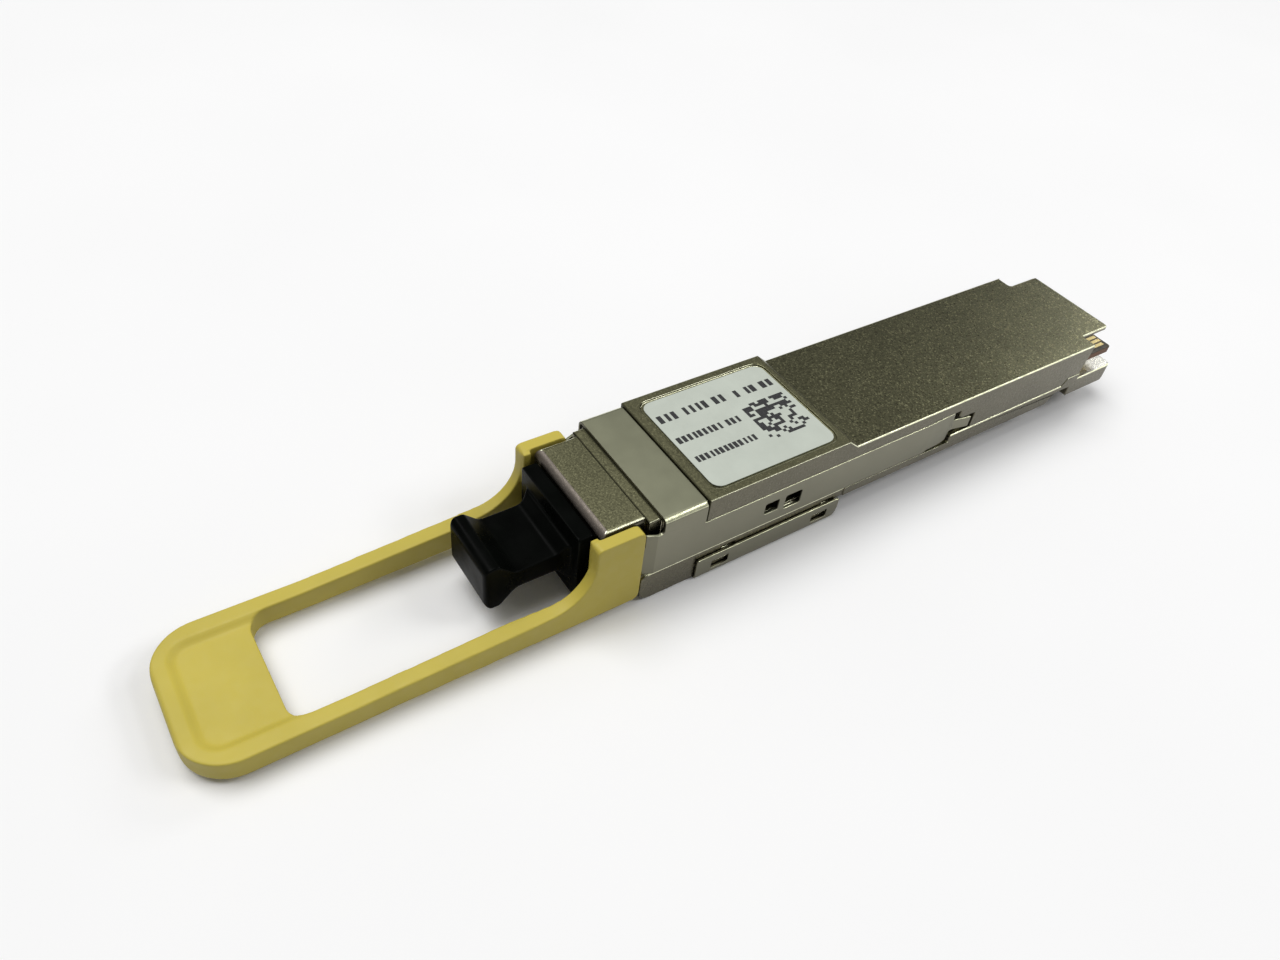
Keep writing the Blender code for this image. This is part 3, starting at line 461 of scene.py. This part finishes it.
def make_paper():
    """Coated label stock with a faint fibre and a slight unevenness."""
    shader = Shader("label_stock", (0.53, 0.57, 0.50), 0.5)
    fibre = shader.noise(0.1, 2.0, (1.0, 0.3, 1.0))
    shader.colour(shader.vary_tone(shader.noise(3.0, 4.0), 0.95, 1.03))
    shader.vary_polish(shader.noise(0.8, 3.0), 0.08, 0.1)
    shader.bump([(shader.noise(1.2, 2.0), 0.12, 0.012), (fibre, 0.2, 0.004)])
    return shader.material


def make_ink():
    colour = (0.01, 0.01, 0.011)
    shader = Shader("thermal_ink", colour, 0.55)
    faded = (0.04, 0.04, 0.042)
    shader.colour(shader.ramp(shader.noise(0.25, 3.0), [(0.3, colour), (0.75, faded)]))
    shader.bump([(shader.noise(0.15, 2.0), 0.2, 0.004)])
    return shader.material


def make_laminate():
    """Dark solder mask with the weave of the glass cloth showing faintly."""
    shader = Shader("board_laminate", (0.04, 0.03, 0.012), 0.34)
    shader.set("Specular IOR Level", 0.2)
    weave = shader.noise(0.35, 1.0, (1.0, 0.25, 1.0))
    cloth = shader.mix(0.5, weave, shader.noise(0.35, 1.0, (0.25, 1.0, 1.0)))
    shader.colour(shader.vary_tone(cloth, 0.7, 1.5, 0.35, 0.7))
    shader.vary_polish(shader.noise(0.7, 3.0), 0.08, 0.08)
    shader.bump([(cloth, 0.25, 0.01)])
    return shader.material


def make_cut_laminate():
    """Routed edge of the board: brown-red resin in thin layers."""
    shader = Shader("board_cut_edge", (0.13, 0.052, 0.016), 0.6)
    layers = shader.noise(0.12, 2.0, (0.05, 0.05, 1.0))
    shader.colour(shader.vary_tone(layers, 0.65, 1.3, 0.35, 0.65))
    shader.bump([(layers, 0.4, 0.02)])
    return shader.material


def make_metal(name, colour, roughness):
    """Bare or plated metal of the small parts."""
    shader = Shader(name, colour, roughness, 1.0)
    shader.colour(shader.vary_tone(shader.noise(2.0, 3.0), 0.9, 1.08))
    shader.vary_polish(shader.noise(0.5, 3.0), 0.06, 0.1)
    shader.bump([(shader.noise(0.2, 2.0), 0.25, 0.006)])
    return shader.material


def make_moulded(name, colour, roughness, grain=0.12):
    """Small moulded, pressed or coated parts."""
    shader = Shader(name, colour, roughness)
    shader.colour(shader.vary_tone(shader.noise(0.8, 3.0), 0.85, 1.15))
    shader.vary_polish(shader.noise(0.4, 3.0), 0.08, 0.1)
    shader.bump([(shader.noise(grain, 2.0), 0.3, 0.006)])
    return shader.material


# -------------------------------------------------------------------------------------- the casing

TOP_COARSE, EDGE, TOP_FINE, FLANK, HIGHLIT_TONGUE, SHADED_EDGE, LIP = range(7)
TONGUE_STATION, TONGUE_Z = 8.0, 7.0
RAMP_STATION = 54.0
FRONT_STATION, FRONT_TOP_Z = 60.0, 11.0
NOSE_STATION = 80.0
LIP_STATION = 84.0
CASING_BREAK = 0.16
SHEET_BREAK = 0.06


def is_side_edge(normal):
    """A rounding between a side and a face on top, which handling rubs bright and which gets a painted
    highlight.
    """
    return abs(normal.x) > 0.2 and normal.z > 0.2 and abs(normal.y) < 0.3


def casting_zone(centre, normal):
    """Which of the casing's materials a face has, from where it is and how it faces. The flank, crease
    and lip copies are painted darker as shade, the tongue copy lighter as a highlight, and the edge
    copy lighter as a rubbed, highlit edge.
    """
    station = REAR_Y - centre.y / MM
    if is_side_edge(normal) and not (station > NOSE_STATION and normal.z < 0.8):
        return EDGE
    if station > FRONT_STATION and centre.z > FRONT_TOP_Z * MM and abs(normal.y) > 0.12:
        return LIP if station > LIP_STATION else SHADED_EDGE
    if abs(normal.x) > 0.7 or normal.z < 0.2:
        return FLANK
    if station < TONGUE_STATION and centre.z < TONGUE_Z * MM:
        return HIGHLIT_TONGUE
    return TOP_COARSE if station < RAMP_STATION else TOP_FINE


def dress_casing():
    finishes = [
        make_casting("coarse_blasted_nickel", tint(NICKEL, 0.82), 0.2, 0.024, 0.35, 1.0),
        # rubbed edge, its colour raised well above the nickel's as a painted highlight
        make_worn_highlit_edge("rubbed_highlit_nickel_edge", tint(SHEET_NICKEL, 1.55)),
        make_casting("fine_blasted_nickel", tint(NICKEL, 1.1), 0.14, 0.01, 0.38, 0.5),
        make_casting("satin_nickel_flank_shade", SHADED_FLANK_NICKEL, 0.2, 0.003, 0.33, 0.12),
        # the rear tongue's top, painted light as a highlight
        make_casting("highlit_blasted_nickel", (0.62, 0.61, 0.55), 0.2, 0.02, 0.33, 0.9),
        # painted shade along the creases and front edges on top
        make_casting("shaded_nickel_edge", tint(NICKEL, 0.25), 0.2, 0.003, 0.5, 0.2),
        make_casting("lip_nickel_reflection_tone", LIP_NICKEL, 0.14, 0.008, 0.55, 0.3),
    ]
    for node, name in (("upper_shell", "upper_casing"), ("lower_shell", "lower_casing")):
        casing = cad_copy(node, name, CASING_BREAK, 3, casting_zone)
        settle(casing, "module", "shell_casting", finishes, node)


SHEET_TOP, SHEET_EDGE, SHEET_SIDE, SHEET_BEND, SHEET_FRONT = range(5)


def sheet_zone(centre, normal):
    """Which of the sheet's materials a face has, from how it faces: the side, bend and front copies are
    painted darker as shade, and the edge copy lighter as a highlight.
    """
    if is_side_edge(normal):
        return SHEET_EDGE
    if abs(normal.x) > 0.5:
        return SHEET_BEND if normal.y < -0.2 else SHEET_SIDE
    return SHEET_FRONT if normal.y < -0.2 else SHEET_TOP


def clip_zone(centre, normal):
    """The clip lies in shade on every face but the rims of its flanges."""
    return SHEET_EDGE if is_side_edge(normal) else SHEET_SIDE


def dress_sheet_parts():
    finishes = [
        make_sheet("stamped_nickel", tint(SHEET_NICKEL, 0.7), 0.4),
        # rubbed edge, its colour raised well above the sheet's as a painted highlight
        make_worn_highlit_edge("rubbed_highlit_sheet_edge", tint(SHEET_NICKEL, 1.3)),
        # side, bend and front copies: painted shade, darker still on the bend and the front
        make_sheet("stamped_nickel_side_shade", SHADED_SIDE_NICKEL, 0.32),
        make_sheet("stamped_nickel_bend_shade", tint(SHADED_SIDE_NICKEL, 0.85), 0.36),
        make_sheet("stamped_nickel_front_shade", tint(SHADED_SIDE_NICKEL, 0.6), 0.4),
    ]
    clip = cad_copy("bottom_clip", "underside_clip", SHEET_BREAK, 2, clip_zone)
    settle(clip, "module", "stamped_sheet", finishes, "bottom_clip")
    slider = cad_copy("latch_slider", "latch_sheet", SHEET_BREAK, 2, sheet_zone)
    settle(slider, "latch", "stamped_sheet", finishes, "latch_slider")


# ------------------------------------------------------------------------------ pull tab and plug

def make_pull_tab():
    """Two side plates, two rails and a finger loop, moulded in one."""
    rear, front = 82.8, 131.0
    lip = 88.75
    taper, loop_root, window = 98.0, 115.0, 121.0
    top, low, loop_low = 12.1, 1.15, 0.85
    rail_rear_z, rail_front_z = 4.7, 3.55
    half, loop_half = 9.2, 8.95
    plate_inner, rail_inner = 7.7, 7.1
    profile = [
        (rear, low, 0.8),
        (rear, top, 0.8),
        (lip, top, 0.6),
        (lip, rail_rear_z, 5.4),
        (taper, rail_rear_z - 0.5),
        (loop_root, rail_front_z),
        (front, rail_front_z, 0.6),
        (front, loop_low, 0.4),
        (loop_root, loop_low),
        (taper, low),
    ]
    tab = prism("finger_tab", "side", profile, -half - 1, half + 1, 20)
    outline = mirrored([
        (rail_inner - 0.1, window, 2.0),
        (rail_inner + 0.1, taper),
        (plate_inner, 91.0),
        (plate_inner, rear - 1),
        (half, rear - 1),
        (half, 96.0),
        (loop_half, 112.0),
        (loop_half, front, 5.2),
    ])
    combine(tab, prism("tab_plan", "plan", outline, loop_low - 1, top + 1, 20), "INTERSECT")
    recess_half, recess_front, recess_radius = 7.0, front - 1.75, 2.4
    for inset, depth in ((0.0, 0.16), (0.3, 0.36), (0.6, 0.55)):
        reach = recess_half - inset
        recess = mirrored([(reach, window - 3), (reach, recess_front - inset, recess_radius - inset)])
        combine(tab, prism("thumb_recess", "plan", recess, rail_front_z - depth, 6.0, 16), "DIFFERENCE")
    rib_stations, rib_z = (87.7, lip - 0.1), (7.4, top - 0.15)
    slot_stations, slot_z = (rear - 1, 86.8), (4.8, 9.0)
    for side in (-1, 1):
        rib_x = sorted((side * 7.15, side * (plate_inner + 0.5)))
        combine(tab, block("lip_rib", rib_x, rib_stations, rib_z), "UNION")
        slot_x = sorted((side * 8.2, side * 8.75))
        combine(tab, block("arm_slot", slot_x, slot_stations, slot_z), "DIFFERENCE")
    soften(tab, voxel=0.1, rounds=26, kept=0.4)
    settle(tab, "latch", "tab_elastomer", [make_elastomer()], "pull_tab")


def make_dust_plug():
    """A cap in the port with a waisted grip that ends in a raised bump."""
    port_z = 6.6
    flange_rear, flange_front, grip_front = 87.6, 89.4, 99.3
    upper = [
        (flange_front - 0.5, 2.6),
        (flange_front + 0.3, 2.6, 0.3),
        (flange_front + 1.3, 1.3, 0.8),
        (95.6, 1.2, 1.6),
        (97.6, 3.15, 0.7),
        (grip_front, 3.15, 1.0),
    ]
    lower = [(station, -z, *radius) for station, z, *radius in reversed(upper)]
    profile = [(station, port_z + z, *radius) for station, z, *radius in upper + lower]
    plug = prism("port_plug", "side", profile, -6.0, 6.0, 14)
    root_half, grip_half = 5.0, 4.33
    outline = mirrored([
        (root_half, flange_front - 0.6),
        (root_half, flange_front),
        (grip_half, flange_front + 0.8, 1.0),
        (grip_half, grip_front, 0.6),
    ])
    combine(plug, prism("grip_plan", "plan", outline, 0.0, 12.0, 14), "INTERSECT")
    for name, half_width, half_height, radius, stations, operation in (
        ("flange", 6.35, 4.8, 0.4, (flange_rear, flange_front), "UNION"),
        ("barrel", 5.95, 3.5, 0.4, (83.0, flange_rear + 0.2), "UNION"),
        ("bore", 5.0, 2.6, 0.3, (82.0, 86.6), "DIFFERENCE"),
    ):
        section = rectangle(half_width, port_z - half_height, port_z + half_height, radius)
        combine(plug, prism(name, "front", section, *stations, 8), operation)
    soften(plug, voxel=0.1, rounds=12)
    settle(plug, "plug", "plug_plastic", [make_black_plastic()], "dust_plug")


# ------------------------------------------------------------------------------------------- label

def join_boxes(name, boxes):
    """Thin flat marks as one mesh, from boxes (x low, x high, two stations, z low, z high)."""
    cage = bmesh.new()
    for x_low, x_high, rear, front, z_low, z_high in boxes:
        spans = (x_high - x_low, front - rear, z_high - z_low)
        centre = ((x_low + x_high) / 2, along((rear + front) / 2), (z_low + z_high) / 2)
        stretch = Matrix.Diagonal([*(span * MM for span in spans), 1.0])
        bmesh.ops.create_cube(cage, size=1.0, matrix=Matrix.Translation(Vector(centre) * MM) @ stretch)
    mesh = bpy.data.meshes.new(name)
    cage.to_mesh(mesh)
    cage.free()
    return add_object(name, mesh)


def barred_row(rng, x, cell, height, stations, z_range):
    """A row that reads as small print from afar: short plain bars with no letter in them."""
    boxes = []
    station = stations[0]
    while station + cell < stations[1]:
        width = cell * rng.uniform(0.45, 0.8)
        boxes.append((x - height * 0.42, x + height * 0.42, station, station + width, *z_range))
        station += cell * (1.7 if rng.random() < 0.12 else 1.0)
    return boxes


def make_label():
    label = cad_copy("product_label", "blank_label", 0.03)
    settle(label, "module", "label_paper", [make_paper()], "product_label")
    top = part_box("product_label")[1].z / MM
    z_range = (top - 0.01, top + 0.012)
    rng = random.Random(7)
    boxes = []
    for x, cell, height, stations in (
        (-4.5, 0.95, 1.6, (62.8, 72.8)),
        (-4.3, 0.95, 1.5, (55.6, 62.0)),
        (-0.5, 0.72, 1.25, (63.4, 72.8)),
        (3.0, 0.68, 1.15, (63.6, 72.8)),
    ):
        boxes += barred_row(rng, x, cell, height, stations, z_range)
    cells, pitch = 15, 0.43
    block_x, block_station = -2.1, 55.7
    for row in range(cells):
        for column in range(cells):
            if rng.random() < 0.5:
                x = block_x + row * pitch
                station = block_station + column * pitch
                boxes.append((x, x + pitch, station, station + pitch, *z_range))
    marks = join_boxes("printed_marks", boxes)
    settle(marks, "module", "label_paper", [make_ink()])


# ---------------------------------------------------------------------------- board and its pads

def make_board():
    board = cad_copy("circuit_board", "contact_board", 0.04, 1)
    low, high = (corner.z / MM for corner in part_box("circuit_board"))
    for face in board.data.polygons:
        face.material_index = 0 if abs(face.normal.z) > 0.7 else 1
    settle(board, "module", "board_laminate", [make_laminate(), make_cut_laminate()], "circuit_board")
    gold = make_metal("contact_gold", (0.60, 0.49, 0.22), 0.28)
    pads = []
    count, pitch = 19, 0.8
    pad_half, track_half = 0.27, 0.07
    pad_rear, short_pad_rear, pad_front, track_front = 1.15, 1.45, 3.9, 6.2
    sunk, proud = 0.01, 0.03
    for z_range in ((high - sunk, high + proud), (low - proud, low + sunk)):
        for index in range(count):
            x = (index - (count - 1) / 2) * pitch
            rear = pad_rear if index % 3 else short_pad_rear
            track_end = track_front + (index % 4) * 0.3
            pads.append((x - pad_half, x + pad_half, rear, pad_front, *z_range))
            pads.append((x - track_half, x + track_half, pad_front, track_end, *z_range))
    contacts = join_boxes("edge_contacts", pads)
    settle(contacts, "module", "board_laminate", [gold])


# ------------------------------------------------------------------------------------ small parts

def make_return_springs():
    """Fine coils between the slider's inner tabs and the casing."""
    steel = make_metal("spring_steel_wire", (0.56, 0.56, 0.55), 0.28)
    wire = 0.12
    turns, steps = 6, 28
    closing = 0.05
    for side in ("left", "right"):
        name, node = f"{side}_return_coil", f"return_spring_{side}"
        low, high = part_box(node)
        centre = (low + high) / 2
        coil = (high.x - low.x) / 2 - wire * MM
        length = high.y - low.y - 2 * wire * MM
        curve = bpy.data.curves.new(name, "CURVE")
        curve.dimensions = "3D"
        curve.bevel_depth = wire * MM
        curve.bevel_resolution = 3
        curve.use_fill_caps = True
        spline = curve.splines.new("POLY")
        spline.points.add(turns * steps)
        for index, point in enumerate(spline.points):
            share = index / (turns * steps)
            angle = 2 * math.pi * turns * share
            reach = share - closing * math.sin(2 * math.pi * share)
            y = high.y - wire * MM - length * reach
            x = centre.x + coil * math.cos(angle)
            z = centre.z + coil * math.sin(angle)
            point.co = (x, y, z, 1.0)
        source = add_object(name + "_path", curve)
        graph = bpy.context.evaluated_depsgraph_get()
        mesh = bpy.data.meshes.new_from_object(source.evaluated_get(graph))
        drop(source)
        spring = add_object(name, mesh)
        spring.data.shade_smooth()
        settle(spring, "module", "spring_steel", [steel], node)
        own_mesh(spring)


def dress_small_parts():
    """Bevelled versions of what can be seen in the port and underneath, and finishes for the rest."""
    bright = make_metal("bright_steel", (0.58, 0.58, 0.57), 0.25)
    resin = make_moulded("filled_black_resin", (0.03, 0.03, 0.032), 0.4)
    visible = (
        ("shell_screw_left", "left_casing_screw", 0.06, "spring_steel", bright),
        ("shell_screw_right", "right_casing_screw", 0.06, "spring_steel", bright),
        ("guide_pin_left", "left_guide_pin", 0.03, "spring_steel", bright),
        ("guide_pin_right", "right_guide_pin", 0.03, "spring_steel", bright),
        ("ferrule_clamp", "ferrule_holder", 0.05, "spring_steel", bright),
        ("ferrule", "fibre_ferrule", 0.04, "frame_resin", resin),
        ("port_receptacle", "port_frame", 0.08, "frame_resin", resin),
    )
    for node, name, width, slot, material in visible:
        settle(cad_copy(node, name, width), "module", slot, [material], node)
    epoxy = make_moulded("chip_epoxy", (0.025, 0.025, 0.028), 0.5)
    silicon = make_moulded("bare_silicon", (0.17, 0.18, 0.22), 0.2, 0.06)
    ferrite = make_moulded("pressed_ferrite", (0.09, 0.09, 0.1), 0.6)
    ceramic = make_moulded("tan_ceramic", (0.45, 0.32, 0.2), 0.45)
    finishes = {
        "clock_crystal": bright,
        "lens_cover": resin,
        "signal_processor": epoxy,
        "power_regulator": epoxy,
        "microcontroller": epoxy,
        "laser_driver": silicon,
        "receiver_amplifier": silicon,
        "laser_array": silicon,
        "detector_array": silicon,
        "thermal_pad": make_moulded("thermal_gel", (0.42, 0.47, 0.58), 0.65),
        "lens_block": make_moulded("amber_resin", (0.60, 0.52, 0.30), 0.15, 0.4),
        "fibre_ribbon": make_moulded("aqua_ribbon", (0.12, 0.50, 0.56), 0.35),
        "port_gasket": make_moulded("conductive_rubber", (0.09, 0.09, 0.09), 0.8),
    }
    finishes.update({f"power_inductor_{index}": ferrite for index in range(1, 4)})
    finishes.update({f"capacitor_{index}": ceramic for index in range(1, 7)})
    for node, material in finishes.items():
        for material_slot in frame["nodes"][node].material_slots:
            material_slot.material = material


# ------------------------------------------------------------------------- camera, light and floor

def make_camera():
    """The photo's own camera, solved with the rear section's standard size as the scale."""
    data = bpy.data.cameras.new("view_camera")
    data.sensor_width = 36.0
    data.lens = 27.585
    data.shift_x = -0.005568
    data.shift_y = 0.001706
    data.clip_start = 0.005
    data.clip_end = 10.0
    camera = add_object("view_camera", data)
    place = Vector((63.035, -61.604, 88.046)) * MM
    azimuth, elevation, roll = math.radians(51.19), math.radians(44.532), math.radians(7.855)
    turn = Euler((math.pi / 2 - elevation, 0.0, azimuth)).to_matrix() @ Matrix.Rotation(roll, 3, "Z")
    camera.matrix_world = Matrix.Translation(place) @ turn.to_4x4()
    bpy.context.scene.camera = camera


def add_light(name, place, size, power, target=(0.0, 0.0, 0.0)):
    """A soft rectangular light at place, aimed at target, both in metres."""
    data = bpy.data.lights.new(name, "AREA")
    data.shape = "RECTANGLE"
    data.size, data.size_y = size
    data.energy = power
    light = add_object(name, data)
    aim = (Vector(target) - Vector(place)).to_track_quat("-Z", "Y")
    light.matrix_world = Matrix.Translation(Vector(place)) @ aim.to_matrix().to_4x4()


def make_studio():
    floor_outline = rectangle(900.0, -900.0, 1100.0)
    floor = prism("studio_floor", "plan", floor_outline, -1.0, 0.0, 1)
    shader = Shader("pale_floor", (0.95, 0.95, 0.95), 0.9)
    shader.colour(shader.ramp(shader.noise(60.0, 2.0), [(0.3, 0.94), (0.7, 0.96)]))
    floor.data.materials.append(shader.material)
    world = bpy.data.worlds.new("soft_room")
    bpy.context.scene.world = world
    world.use_nodes = True
    background = world.node_tree.nodes["Background"]
    background.inputs["Color"].default_value = (1.0, 1.0, 1.0, 1.0)
    background.inputs["Strength"].default_value = 0.22
    add_light("key_softbox", (-0.22, -0.17, 0.84), (0.65, 0.65), 5.5)
    add_light("rear_window", (-0.2, 0.87, 0.45), (0.25, 0.25), 0.95, (0.0, 0.04, 0.0))
    add_light("edge_strip", (0.37, 0.62, 0.53), (0.35, 0.14), 1.4)
    add_light("near_edge_strip", (0.34, 0.42, 0.66), (0.22, 0.14), 0.7)


make_camera()
dress_casing()
dress_sheet_parts()
make_pull_tab()
make_dust_plug()
make_label()
make_board()
make_return_springs()
dress_small_parts()
make_studio()
bpy.context.scene.view_settings.view_transform = "Standard"
